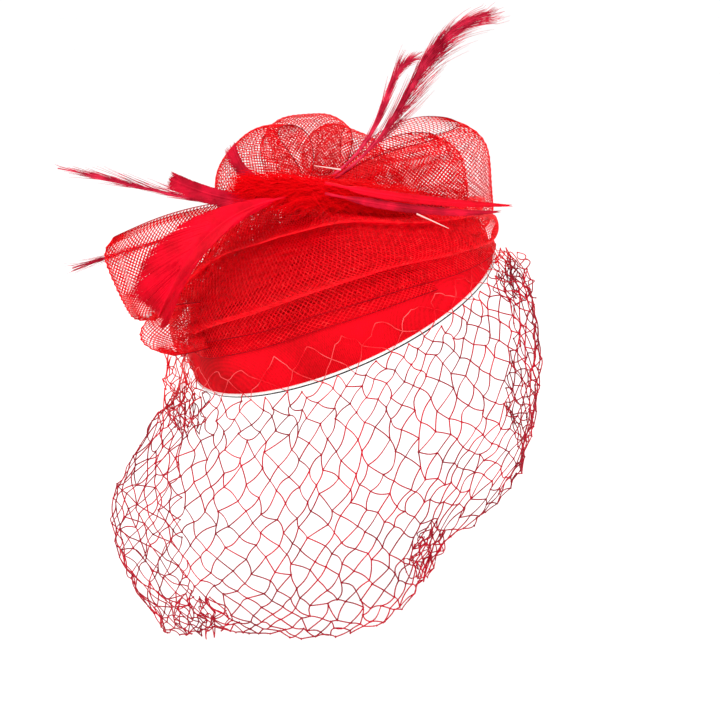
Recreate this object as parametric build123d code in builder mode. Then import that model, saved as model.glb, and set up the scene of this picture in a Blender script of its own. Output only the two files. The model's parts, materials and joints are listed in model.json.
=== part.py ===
from build123d import *
import math
import os

# Fascinator headpiece as worn: +Z is the wearer's up, -Y is the wearer's front.
# The origin is the centre of the ring-shaped underside of the base.

# Seat: the base sits forward and to one side of the crown
seat_pitch = 12.1
seat_roll = 22.7

# Base
shell_radius = 76.6
shell_height = 45.0
shell_wall = 1.4
cover_wall = 0.65
lining_wall = 0.8
ply_gap = 0.05
lip_radius = 78.0
flange_height = 0.85
lip_height = 1.0
dome_power = 2.4

# Outline of the cover that the crin rests on
rest_radius = 77.8
rest_height = 46.2

# Crin ribbon and feathers
crin_wall = 0.7
blade_wall = 0.5

# Veil
veil_wall = 0.8
veil_drop = 121.0

# Clips
leaf_length = 47.0
leaf_width = 7.0
leaf_wall = 0.6
leaf_low = 3.0
leaf_outer = 69.15
pin_out = 66.0
pin_along = 8.0
pin_radius = 0.8
lever_gap = 0.3
lever_width = 5.2
wire_radius = 0.3
coil_radius = 1.4
coil_pitch = 0.75

roll = math.radians(seat_roll)
pitch = math.radians(seat_pitch)
seat_x = Vector(math.cos(roll), -math.sin(roll) * math.sin(pitch), math.sin(roll) * math.cos(pitch))
seat_n = Vector(-math.sin(roll), -math.cos(roll) * math.sin(pitch), math.cos(roll) * math.cos(pitch))
seat_y = seat_n.cross(seat_x)
seat = Plane(origin=(0, 0, 0), x_dir=seat_x, z_dir=seat_n)
turned_seat = Plane(origin=(0, 0, 0), x_dir=-seat_x, z_dir=seat_n)
# Upright half plane through the axis of the dome, x outwards and y up the axis
profile_plane = Plane(origin=(0, 0, 0), x_dir=seat_x, z_dir=-seat_y)


def seat_point(angle, radius, height):
    turn = math.radians(angle)
    flat = seat_x * (radius * math.cos(turn)) + seat_y * (radius * math.sin(turn))
    return flat + seat_n * height


def dome_point(radius, height, share):
    turn = math.radians(90 * share)
    out = radius * math.cos(turn) ** (2 / dome_power)
    up = height * math.sin(turn) ** (2 / dome_power)
    return (out, up)


def dome_points(radius, height):
    return [dome_point(radius, height, share) for share in (0, 0.15, 0.3, 0.45, 0.6, 0.75, 0.88, 1.0)]


# Smooth surface through a grid of points
def smooth_face(rows):
    return Face.make_surface_from_array_of_points(rows, tol=0.05, smoothing=(1, 0.1, 0.01), max_deg=5)


# Outline of a dome wall between two nested dome curves, both standing at foot_height
def dome_wall_outline(radius, height, wall, foot_height):
    outer = [(x, max(y, foot_height)) for x, y in dome_points(radius, height)]
    inner = [(x, max(y, foot_height)) for x, y in dome_points(radius - wall, height - wall)]
    Spline(*outer, tangents=((0, 1), (-1, 0)))
    Line(outer[-1], inner[-1])
    Spline(*inner, tangents=((0, 1), (-1, 0)))
    Line(inner[0], outer[0])


os.makedirs("parts", exist_ok=True)

# White moulded shell, with its cut edge standing out as a narrow lip
with BuildPart() as base_shell:
    with BuildSketch(profile_plane):
        with BuildLine():
            dome_wall_outline(shell_radius, shell_height, shell_wall, flange_height + 0.02)
        make_face()
    revolve(axis=Axis((0, 0, 0), seat_n))
    with BuildSketch(seat.offset(flange_height + 0.02)):
        Circle(lip_radius)
        Circle(shell_radius - 0.5, mode=Mode.SUBTRACT)
    extrude(amount=lip_height)
base_shell.part.label = "base_shell"
export_step(base_shell.part, "parts/base_shell.step")

# Red fabric cover drawn over the shell, ending on the lip
with BuildPart() as base_cover:
    with BuildSketch(profile_plane):
        with BuildLine():
            dome_wall_outline(
                shell_radius + ply_gap + cover_wall,
                shell_height + ply_gap + cover_wall,
                cover_wall,
                flange_height + lip_height + ply_gap,
            )
        make_face()
    revolve(axis=Axis((0, 0, 0), seat_n))
base_cover.part.label = "base_cover"
export_step(base_cover.part, "parts/base_cover.step")

# Black felt lining, turned out under the lip as the flange the base rests on
with BuildPart() as felt_lining:
    with BuildSketch(profile_plane):
        with BuildLine():
            dome_wall_outline(
                shell_radius - shell_wall - ply_gap,
                shell_height - shell_wall - ply_gap,
                lining_wall,
                0.0,
            )
        make_face()
    revolve(axis=Axis((0, 0, 0), seat_n))
    with BuildSketch(seat):
        Circle(lip_radius - 0.4)
        Circle(shell_radius - shell_wall - ply_gap - lining_wall, mode=Mode.SUBTRACT)
    extrude(amount=flange_height)
felt_lining.part.label = "felt_lining"
export_step(felt_lining.part, "parts/felt_lining.step")


# Ribbon loop seen along its width: a teardrop from the root, round the far fold and back
def teardrop(length, gape, inset):
    points = []
    for i in range(15):
        u = 0.045 + 0.91 * i / 14
        x_slope = length * math.pi * math.cos(math.pi * u)
        y_slope = gape * math.pi * math.cos(2 * math.pi * u)
        scale = inset / math.hypot(x_slope, y_slope)
        x = length * math.sin(math.pi * u) + y_slope * scale
        y = 0.5 * gape * math.sin(2 * math.pi * u) - x_slope * scale
        points.append((x, y))
    return points


# One selvedge of a loop seen flat: out from the gathered root, then round the corner of the fold
def petal_edge(length, root_width, end_width, rounding, power, share):
    points = []
    for reach in (0.1, 0.2, 0.35, 0.5, 0.65, 0.8, 0.92):
        spread = math.sin(0.5 * math.pi * min(1, 1.15 * reach**0.85))
        half = 0.5 * (root_width + (end_width - root_width) * spread)
        points.append((length * (1 - rounding) * reach, half * share))
    for t in (1, 0.93, 0.85, 0.75, 0.65):
        points.append((length * (1 - rounding * t**power), 0.5 * end_width * t * share))
    points.append((length + 2, 0.5 * end_width * 0.55 * share))
    return points


# name, root, far end of the fold, width direction, root width, end width, gape,
# rounding of the corners, its power, share of the width below the middle
loops = [
    ("left_loop", (-20, -20, 47), (-103.5, -6, 10), (-0.42, 0, 0.9), 16, 54, 14, 0.15, 6, 0.85),
    ("right_outer_loop", (-8, -12, 51), (71, 12, 59), (-0.06, 0, 1), 14, 66, 16, 0.3, 4, 0.6),
    ("right_inner_loop", (-8, -22, 53), (57, -12, 61), (-0.06, 0, 1), 12, 52, 9, 0.25, 4, 0.6),
    ("rosette_left_loop", (-22, -12, 53), (-51, 0, 80), (0.69, 0, 0.72), 14, 44, 14, 0.25, 3, 0.9),
    ("rosette_centre_loop", (-15, 2, 55), (-18, 16, 93), (1, 0, 0.05), 14, 44, 14, 0.2, 4, 1.0),
    ("rosette_right_loop", (-7, 15, 53), (0, 31, 86), (0.93, 0, -0.3), 12, 34, 10, 0.2, 4, 1.0),
    ("back_loop", (-6, 24, 49), (2, 70, 56), (1, -0.1, 0.4), 16, 58, 16, 0.2, 4, 0.5),
]
for name, root, far, up, root_width, end_width, gape, rounding, power, low_share in loops:
    start = Vector(*root)
    length = (Vector(*far) - start).length
    along = (Vector(*far) - start).normalized()
    width_way = (Vector(*up) - along * along.dot(Vector(*up))).normalized()
    edge_plane = Plane(origin=start, x_dir=along, z_dir=width_way)
    face_plane = Plane(origin=start, x_dir=along, z_dir=along.cross(width_way))
    outer = teardrop(length, gape, 0)
    inner = teardrop(length, gape, crin_wall)
    upper = petal_edge(length, root_width, end_width, rounding, power, 1.0)
    lower = petal_edge(length, root_width, end_width, rounding, power, -low_share)
    with BuildPart() as crin_loop:
        with BuildSketch(edge_plane):
            with BuildLine():
                Spline(*outer)
                Line(outer[-1], inner[-1])
                Spline(*inner)
                Line(inner[0], outer[0])
            make_face()
        extrude(amount=end_width, both=True)
        with BuildSketch(face_plane):
            with BuildLine():
                Polyline(*upper, *reversed(lower), close=True)
            make_face()
        extrude(amount=gape, both=True, mode=Mode.INTERSECT)
        # The ribbon's lower edge rests on the dome of the cover
        with BuildSketch(profile_plane):
            with BuildLine():
                Spline(*dome_points(rest_radius, rest_height), tangents=((0, 1), (-1, 0)))
                Polyline((0, rest_height), (0, 0), (rest_radius, 0))
            make_face()
        revolve(axis=Axis((0, 0, 0), seat_n), mode=Mode.SUBTRACT)
    crin_loop.part.label = name
    export_step(crin_loop.part, "parts/" + name + ".step")

# Front drape: stations round the base from the left lobe to the right end.
# angle, bottom radius, bottom height, top radius, top height, bulge
stations = [
    (195, 89, 20, 87, 38, 6),
    (213, 82, 22, 68, 45, 8),
    (240, 75, 25, 42, 57, 8),
    (270, 73, 25, 28, 61, 8),
    (300, 75, 20, 36, 57, 8),
    (325, 79, 12, 60, 42, 6),
    (345, 80, 6.5, 74, 31, 3),
    (362, 81, 5.5, 77.5, 27, 2),
]
lobe_radius = 6.0


def drape_row(angle, low_radius, low_height, top_radius, top_height, bulge, turn):
    row = []
    slope = math.atan2(top_height - low_height, low_radius - top_radius)
    for j in range(9):
        v = j / 8
        swell = bulge * math.sin(math.pi * v) + 1.2 * math.sin(4 * math.pi * v)
        radius = low_radius + (top_radius - low_radius) * v + swell * math.sin(slope)
        height = low_height + (top_height - low_height) * v + swell * math.cos(slope)
        point = seat_point(angle, radius - lobe_radius * (1 - math.cos(turn)), height)
        back = math.radians(angle)
        round_way = seat_x * math.sin(back) - seat_y * math.cos(back)
        row.append(point + round_way * (lobe_radius * math.sin(turn)))
    return row


drape_rows = [drape_row(*stations[0], math.radians(turn)) for turn in (200, 150, 100, 50)]
drape_rows += [drape_row(*station, 0.0) for station in stations]
with BuildPart() as front_drape:
    thicken(smooth_face(drape_rows), amount=crin_wall)
    with BuildSketch(profile_plane):
        with BuildLine():
            Spline(*dome_points(rest_radius, rest_height), tangents=((0, 1), (-1, 0)))
            Polyline((0, rest_height), (0, 0), (rest_radius, 0))
        make_face()
    revolve(axis=Axis((0, 0, 0), seat_n), mode=Mode.SUBTRACT)
front_drape.part.label = "front_drape"
export_step(front_drape.part, "parts/front_drape.step")

# Gathered centre of the bow, bound into a cushion that sits on the crown of the cover
bow_x = 5.9
bow_y = -11.0
bow_height = 54.3
bow_radius = 13.0
bow_half_height = 8.6
bow_centre = seat_x * bow_x + seat_y * bow_y + seat_n * bow_height
bow_plane = Plane(origin=bow_centre, x_dir=seat_x, z_dir=-seat_y)
with BuildPart() as centre_binding:
    with BuildSketch(bow_plane):
        with BuildLine():
            Line((0, -bow_half_height), (bow_radius - bow_half_height, -bow_half_height))
            ThreePointArc(
                (bow_radius - bow_half_height, -bow_half_height),
                (bow_radius, 0),
                (bow_radius - bow_half_height, bow_half_height),
            )
            Line((bow_radius - bow_half_height, bow_half_height), (0, bow_half_height))
            Line((0, bow_half_height), (0, -bow_half_height))
        make_face()
    revolve(axis=Axis(bow_centre, seat_n))
centre_binding.part.label = "centre_binding"
export_step(centre_binding.part, "parts/centre_binding.step")

# Stitches that hold the bound centre down to the cover
stitch_count = 6
stitch_plane = Plane(origin=bow_centre - seat_n * bow_half_height, x_dir=seat_x, z_dir=seat_n)
with BuildPart() as centre_stitches:
    with BuildSketch(stitch_plane.offset(-0.7)):
        with PolarLocations(8.0, stitch_count):
            Circle(0.45)
    extrude(amount=4.5)
centre_stitches.part.label = "centre_stitches"
export_step(centre_stitches.part, "parts/centre_stitches.step")


def bezier(points, u):
    a, b, c, d = [Vector(*p) for p in points]
    return a * (1 - u) ** 3 + b * (3 * u * (1 - u) ** 2) + c * (3 * u * u * (1 - u)) + d * u**3


# Feather blade: shaft along a cubic curve, vanes spread each side and slightly cupped
def blade_rows(points, half_width, root_share, tip_share, facing):
    rows = []
    for i in range(13):
        u = i / 12
        here = bezier(points, u)
        ahead = bezier(points, min(u + 0.02, 1.0)) - bezier(points, max(u - 0.02, 0.0))
        way = ahead.normalized()
        over = way.cross(Vector(*facing)).normalized()
        lift = over.cross(way)
        share = root_share + (1 - root_share) * math.sin(0.5 * math.pi * min(u / 0.35, 1.0))
        share *= 1 - (1 - tip_share) * max((u - 0.6) / 0.4, 0.0) ** 1.5
        reach = half_width * share
        row = []
        for k in (-1, -0.5, 0, 0.5, 1):
            row.append(here + over * (reach * k) + lift * (0.12 * reach * (1 - k * k)))
        rows.append(row)
    return rows


# name, shaft curve, half width, share of it at the root, share at the tip, facing
feathers = [
    ("left_hackle", [(-22, -37, 59), (-55, -40, 49), (-95, -32, 65), (-132, -25, 71)], 3.5, 0.3, 0.3),
    ("cut_feather", [(-24, -44, 61), (-44, -47, 55), (-60, -48, 60), (-78, -47, 68)], 5.5, 0.5, 0.7),
    ("broad_feather", [(-26, -50, 60), (-60, -70, 58), (-76, -67, 36), (-86, -62, 8)], 14.0, 0.25, 0.55),
    ("low_hackle", [(-22, 2, 52), (-60, 14, 43), (-95, 14, 31), (-131, 8, 20)], 3.0, 0.4, 0.3),
    ("notched_feather", [(-24, -36, 63), (-38, -37, 63), (-48, -36, 70), (-50, -33, 82)], 4.5, 0.5, 0.9),
    ("tall_plume", [(-8, -22, 66), (22, -17, 88), (34, -12, 127), (71, -10, 140)], 7.0, 0.3, 0.3),
    ("short_plume", [(-10, -29, 67), (14, -28, 87), (20, -26, 106), (37, -24, 124)], 4.0, 0.4, 0.3),
    ("right_quill_upper", [(-8, -55, 67), (20, -60, 61), (48, -60, 58), (75, -56, 57)], 3.0, 0.5, 0.3),
    ("right_quill_lower", [(-8, -53, 60), (18, -58, 54), (44, -59, 50), (70, -55, 51)], 3.0, 0.5, 0.3),
]
front = (0, -1, 0.15)
for name, points, half_width, root_share, tip_share in feathers:
    rows = blade_rows(points, half_width, root_share, tip_share, front)
    with BuildPart() as feather:
        thicken(smooth_face(rows), amount=blade_wall)
    feather.part.label = name
    export_step(feather.part, "parts/" + name + ".step")

# Marabou fluff along the roots of the feathers
fluff_half_length = 34.0
fluff_radius = 9.0
fluff_plane = Plane(origin=(-8, -41, 64), x_dir=(1, 0.02, -0.06), z_dir=(0, -1, 0.1))
with BuildPart() as marabou_fluff:
    with BuildSketch(fluff_plane):
        with BuildLine():
            fluff_arc = EllipticalCenterArc(
                (0, 0), fluff_half_length, fluff_radius, start_angle=0, arc_size=180
            )
            Line(fluff_arc @ 1, fluff_arc @ 0)
        make_face()
    revolve(axis=Axis((-8, -41, 64), fluff_plane.x_dir))
marabou_fluff.part.label = "marabou_fluff"
export_step(marabou_fluff.part, "parts/marabou_fluff.step")


# Veil: a hanging sheet from the front half of the rim down to below the cheeks
def veil_row(share):
    top = seat_point(188 + 166 * share, 79.6, 2.2)
    turn = math.radians(172 + 194 * share)
    low_x = -8 + 82 * math.cos(turn)
    low = Vector(low_x, -14 + 94 * math.sin(turn), -veil_drop + 0.4 * low_x)
    out = Vector(math.cos(turn), math.sin(turn), 0)
    swell = 15 + 8 * abs(math.cos(turn))
    row = []
    for j in range(9):
        w = j / 8
        row.append(top * (1 - w) + low * w + out * (swell * math.sin(math.pi * w)))
    return row


with BuildPart() as veil_net:
    thicken(smooth_face([veil_row(i / 16) for i in range(17)]), amount=veil_wall)
veil_net.part.label = "veil_net"
export_step(veil_net.part, "parts/veil_net.step")

# Each end of the veil is drawn up into a tuft and stitched to the rim
tufts = [
    ("veil_gather_left", seat_point(196, 85.5, 0.5), 6.0, 12.0),
    ("veil_gather_right", seat_point(346, 86.0, 2.0), 4.5, 8.0),
]
for name, centre, tuft_radius, half_height in tufts:
    tuft_plane = Plane(origin=centre, x_dir=(1, 0, 0), z_dir=(0, -1, 0))
    with BuildPart() as tuft:
        with BuildSketch(tuft_plane):
            with BuildLine():
                tuft_arc = EllipticalCenterArc(
                    (0, 0), tuft_radius, half_height, start_angle=-90, arc_size=180
                )
                Line(tuft_arc @ 1, tuft_arc @ 0)
            make_face()
        revolve(axis=Axis(centre, (0, 0, 1)))
    tuft.part.label = name
    export_step(tuft.part, "parts/" + name + ".step")

# Two alligator clips inside the rim, right and left. In each clip's plane x points out
# to the wall, y runs along the clip and the hinge axis is the plane's normal.
leaf_half = leaf_length / 2
leaf_inner = leaf_outer - leaf_wall
lever_low = leaf_low + leaf_wall + lever_gap
lever_high = lever_low + lever_width
patch_radius = 73.6
for side, ground in (("right", seat), ("left", turned_seat)):
    # Fixed leaf with two ears that carry the hinge pin
    with BuildPart() as clip_leaf:
        with BuildSketch(ground.offset(leaf_low)):
            with BuildLine():
                Polyline(
                    (leaf_inner, -leaf_half),
                    (leaf_outer, -leaf_half),
                    (leaf_outer, leaf_half),
                    (leaf_inner, leaf_half),
                    close=True,
                )
            make_face()
        extrude(amount=leaf_width)
        with BuildSketch(ground.offset(leaf_low), ground.offset(leaf_low + leaf_width - leaf_wall)):
            with BuildLine():
                Polyline(
                    (leaf_inner + 0.1, pin_along - 3.5),
                    (leaf_inner + 0.1, pin_along + 3.5),
                    (pin_out, pin_along + 2.0),
                    (pin_out - 2.0, pin_along),
                    (pin_out, pin_along - 2.0),
                    close=True,
                )
            make_face()
        extrude(amount=leaf_wall)
        with BuildSketch(ground.offset(leaf_low - 1)):
            with Locations((pin_out, pin_along)):
                Circle(pin_radius)
        extrude(amount=leaf_width + 2, mode=Mode.SUBTRACT)
    clip_leaf.part.label = side + "_clip_leaf"
    export_step(clip_leaf.part, "parts/" + side + "_clip_leaf.step")

    # Hinge pin held in the ears
    with BuildPart() as clip_pin:
        with BuildSketch(ground.offset(leaf_low - 0.4)):
            with Locations((pin_out, pin_along)):
                Circle(pin_radius)
        extrude(amount=leaf_width + 0.8)
    clip_pin.part.label = side + "_clip_pin"
    export_step(clip_pin.part, "parts/" + side + "_clip_pin.step")

    # Moving lever: a bent strip with its tip near the leaf and its handle standing off it
    with BuildPart() as clip_lever:
        with BuildSketch(ground.offset(lever_low)):
            with BuildLine():
                Polyline(
                    (leaf_inner - 0.35, -leaf_half + 0.5),
                    (leaf_inner - 0.35, -leaf_half + 1.8),
                    (pin_out - 2.0, pin_along - 3.0),
                    (pin_out - 2.0, pin_along + 3.0),
                    (pin_out - 6.0, leaf_half + 0.5),
                    (pin_out - 6.6, leaf_half + 0.5),
                    (pin_out - 2.6, pin_along + 3.2),
                    (pin_out - 2.6, pin_along - 3.4),
                    (leaf_inner - 1.8, -leaf_half + 1.4),
                    (leaf_inner - 0.8, -leaf_half + 0.5),
                    close=True,
                )
            make_face()
        extrude(amount=lever_width)
        with BuildSketch(ground.offset(lever_low), ground.offset(lever_high - leaf_wall)):
            with BuildLine():
                Polyline(
                    (pin_out - 2.5, pin_along - 2.9),
                    (pin_out - 2.5, pin_along + 2.9),
                    (pin_out + 0.4, pin_along + 1.9),
                    (pin_out + 1.7, pin_along),
                    (pin_out + 0.4, pin_along - 1.9),
                    close=True,
                )
            make_face()
        extrude(amount=leaf_wall)
        with BuildSketch(ground.offset(lever_low - 1)):
            with Locations((pin_out, pin_along)):
                Circle(pin_radius + lever_gap)
        extrude(amount=lever_width + 2, mode=Mode.SUBTRACT)
    clip_lever.part.label = side + "_clip_lever"
    export_step(clip_lever.part, "parts/" + side + "_clip_lever.step")

    # Torsion spring round the pin, one leg on the leaf and one on the lever
    spring_low = lever_low + leaf_wall + 0.5
    pin_foot = ground.from_local_coords(Vector(pin_out, pin_along, spring_low))
    coil_height = 3 * coil_pitch
    with BuildPart() as clip_spring:
        with BuildLine() as coil_line:
            Helix(coil_pitch, coil_height, coil_radius, center=pin_foot, direction=ground.z_dir)
        with BuildSketch(Plane(origin=coil_line.line @ 0, z_dir=coil_line.line % 0)):
            Circle(wire_radius)
        sweep(path=coil_line.line)
    clip_spring.part.label = side + "_clip_spring"
    export_step(clip_spring.part, "parts/" + side + "_clip_spring.step")

    # Felt patch filling the curve between the straight leaf and the lining
    half_angle = math.degrees(math.acos((leaf_outer + 0.02) / patch_radius))
    with BuildPart() as clip_patch:
        with BuildSketch(ground.offset(leaf_low - 0.5)):
            with BuildLine():
                patch_arc = CenterArc((0, 0), patch_radius, -half_angle, 2 * half_angle)
                Line(patch_arc @ 1, patch_arc @ 0)
            make_face()
        extrude(amount=leaf_width + 1)
    clip_patch.part.label = side + "_clip_patch"
    export_step(clip_patch.part, "parts/" + side + "_clip_patch.step")
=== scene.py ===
import json
import math

import bmesh
import bpy
import numpy as np
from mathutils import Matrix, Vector


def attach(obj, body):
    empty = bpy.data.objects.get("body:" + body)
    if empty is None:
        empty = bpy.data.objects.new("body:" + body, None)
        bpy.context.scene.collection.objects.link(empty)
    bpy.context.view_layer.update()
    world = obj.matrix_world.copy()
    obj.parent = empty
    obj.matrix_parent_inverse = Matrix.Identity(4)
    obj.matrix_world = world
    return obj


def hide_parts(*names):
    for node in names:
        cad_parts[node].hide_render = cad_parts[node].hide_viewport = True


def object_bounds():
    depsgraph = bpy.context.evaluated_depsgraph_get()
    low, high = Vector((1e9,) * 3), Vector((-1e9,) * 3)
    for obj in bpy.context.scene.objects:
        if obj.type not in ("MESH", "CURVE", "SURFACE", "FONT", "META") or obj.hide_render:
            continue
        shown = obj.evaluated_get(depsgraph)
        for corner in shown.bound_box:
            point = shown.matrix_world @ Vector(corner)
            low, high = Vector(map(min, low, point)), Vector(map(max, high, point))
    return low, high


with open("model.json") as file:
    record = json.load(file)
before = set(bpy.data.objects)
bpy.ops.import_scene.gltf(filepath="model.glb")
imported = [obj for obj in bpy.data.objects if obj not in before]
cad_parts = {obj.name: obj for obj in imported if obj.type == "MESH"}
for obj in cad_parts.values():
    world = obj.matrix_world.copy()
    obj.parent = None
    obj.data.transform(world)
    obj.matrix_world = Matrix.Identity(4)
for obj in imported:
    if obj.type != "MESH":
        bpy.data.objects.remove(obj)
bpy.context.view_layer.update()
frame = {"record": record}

MM = 0.001

# ---------------------------------------------------------------- seat frame
# The base's underside lies in the seat plane; its normal is the mount's axis reversed.
seat_n = -np.array(frame["record"]["mounts"][0]["axis"], float)
seat_n /= np.linalg.norm(seat_n)
seat_y = np.array([0.0, seat_n[2], -seat_n[1]])
seat_y /= np.linalg.norm(seat_y)
seat_x = np.cross(seat_y, seat_n)
COVER_RADIUS = 77.3
COVER_HEIGHT = 45.7
DOME_POWER = 2.4
# Points this far below the seat plane hang past the rim, and are left alone
BELOW_RIM = -1.0


# Angle in degrees round the base: 270 is the front, 180 the left, 0 the right
def seat_point(angle, radius, height):
    turn = np.radians(angle)
    return seat_x * (radius * math.cos(turn)) + seat_y * (radius * math.sin(turn)) + seat_n * height


# Move any point that would lie inside the cover out to a clearance above it
def rest_on_cover(points, clearance=1.0):
    x = points @ seat_x
    y = points @ seat_y
    h = points @ seat_n
    rho = np.hypot(x, y)
    up = np.maximum(h, 0.0)
    share = (rho / (COVER_RADIUS + clearance)) ** DOME_POWER
    share = share + (up / (COVER_HEIGHT + clearance)) ** DOME_POWER
    share = np.maximum(share, 1e-6) ** (1 / DOME_POWER)
    inside = (share < 1) & (h > BELOW_RIM)
    grow = np.where(inside, 1 / share, 1.0)
    rise = np.where(h > 0, grow, 1)
    return np.outer(x * grow, seat_x) + np.outer(y * grow, seat_y) + np.outer(h * rise, seat_n)


# ---------------------------------------------------------------- materials
def new_material(name):
    material = bpy.data.materials.new(name)
    material.use_nodes = True
    nodes = material.node_tree.nodes
    links = material.node_tree.links
    return material, nodes, links, nodes["Principled BSDF"]


def add_node(nodes, kind, **values):
    node = nodes.new(kind)
    for key, value in values.items():
        if hasattr(node, key):
            setattr(node, key, value)
        else:
            node.inputs[key.replace("_", " ")].default_value = value
    return node


def ramp(nodes, links, source, stops):
    node = nodes.new("ShaderNodeValToRGB")
    elements = node.color_ramp.elements
    while len(elements) < len(stops):
        elements.new(0.5)
    for element, (place, colour) in zip(elements, stops):
        element.position = place
        element.color = (*colour, 1)
    links.new(source, node.inputs["Fac"])
    return node.outputs["Color"]


# Dyed thread, filament or barb: tone and roughness wander along it; a glint tone, where one is given,
# adds painted highlights to the colour
def strand_material(name, dark, light, roughness, noise_scale, specular, glint=None):
    material, nodes, links, shader = new_material(name)
    where = nodes.new("ShaderNodeTexCoord")
    noise = add_node(nodes, "ShaderNodeTexNoise", Scale=noise_scale, Detail=3.0)
    links.new(where.outputs["Object"], noise.inputs["Vector"])
    stops = [(0.3, dark), (0.7, light)]
    if glint is not None:
        # the glint stop paints pale highlight flecks into the colour
        stops = [(0.32, dark), (0.54, light), (0.60, light), (0.72, glint)]
    links.new(ramp(nodes, links, noise.outputs["Fac"], stops), shader.inputs["Base Color"])
    fine = add_node(nodes, "ShaderNodeTexNoise", Scale=noise_scale * 9, Detail=2.0)
    links.new(where.outputs["Object"], fine.inputs["Vector"])
    rough = add_node(nodes, "ShaderNodeMapRange")
    rough.inputs["To Min"].default_value = roughness - 0.08
    rough.inputs["To Max"].default_value = roughness + 0.1
    links.new(fine.outputs["Fac"], rough.inputs["Value"])
    links.new(rough.outputs["Result"], shader.inputs["Roughness"])
    shader.inputs["Specular IOR Level"].default_value = specular
    return material


# the crin's glint tone is a painted highlight on its filaments
# name, dark tone, light tone, roughness, noise scale, specular level
crin_red = strand_material(
    "crin_nylon", (0.66, 0.0, 0.003), (1.0, 0.0, 0.008), 0.34, 420, 0.14, glint=(1.0, 0.03, 0.03)
)
edge_red = strand_material("crin_selvedge", (0.20, 0.0, 0.004), (0.45, 0.0, 0.006), 0.5, 90, 0.06)
feather_crimson = strand_material(
    "feather_crimson", (0.34, 0.0, 0.012), (0.80, 0.004, 0.036), 0.5, 120, 0.12
)
plume_crimson = strand_material(
    "plume_crimson", (0.42, 0.0, 0.022), (0.90, 0.035, 0.10), 0.5, 160, 0.12
)
feather_red = strand_material("feather_red", (0.62, 0.0, 0.010), (1.0, 0.0, 0.022), 0.5, 90, 0.10)
quill_pale = strand_material("quill_pale", (0.86, 0.46, 0.42), (0.95, 0.66, 0.60), 0.4, 80, 0.5)
fluff_red = strand_material("marabou", (0.92, 0.0, 0.002), (1.0, 0.0, 0.006), 0.6, 60, 0.05)


# Veil thread: painted shade makes it darker where it hangs free; where it lies on the cover it is painted
# paler, with pink painted glints, as if catching the light
def veil_material():
    material, nodes, links, shader = new_material("veil_thread")
    where = nodes.new("ShaderNodeTexCoord")
    lift = add_node(nodes, "ShaderNodeVectorMath", operation="DOT_PRODUCT")
    links.new(where.outputs["Object"], lift.inputs[0])
    lift.inputs[1].default_value = [float(v) for v in seat_n]
    share = add_node(nodes, "ShaderNodeMapRange")
    share.inputs["From Min"].default_value = -0.004
    share.inputs["From Max"].default_value = 0.006
    links.new(lift.outputs["Value"], share.inputs["Value"])
    noise = add_node(nodes, "ShaderNodeTexNoise", Scale=70.0, Detail=3.0)
    links.new(where.outputs["Object"], noise.inputs["Vector"])
    tone = noise.outputs["Fac"]
    # free is the thread's red with painted shade; on_cover is painted paler and its pink top stop is a
    # painted glint
    free = ramp(nodes, links, tone, [(0.35, (0.26, 0.0, 0.012)), (0.65, (0.62, 0.002, 0.022))])
    on_cover = ramp(nodes, links, tone, [(0.45, (0.82, 0.0, 0.01)), (0.68, (1.0, 0.17, 0.17))])
    mix = nodes.new("ShaderNodeMix")
    mix.data_type = "RGBA"
    links.new(share.outputs["Result"], mix.inputs["Factor"])
    # a mix node's colour sockets are inputs 6 and 7 and output 2
    links.new(free, mix.inputs[6])
    links.new(on_cover, mix.inputs[7])
    links.new(mix.outputs[2], shader.inputs["Base Color"])
    shader.inputs["Roughness"].default_value = 0.45
    shader.inputs["Specular IOR Level"].default_value = 0.15
    return material


veil_red = veil_material()
thread_red = strand_material("sewing_thread", (0.5, 0.0, 0.006), (0.8, 0.002, 0.01), 0.5, 300, 0.15)


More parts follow.
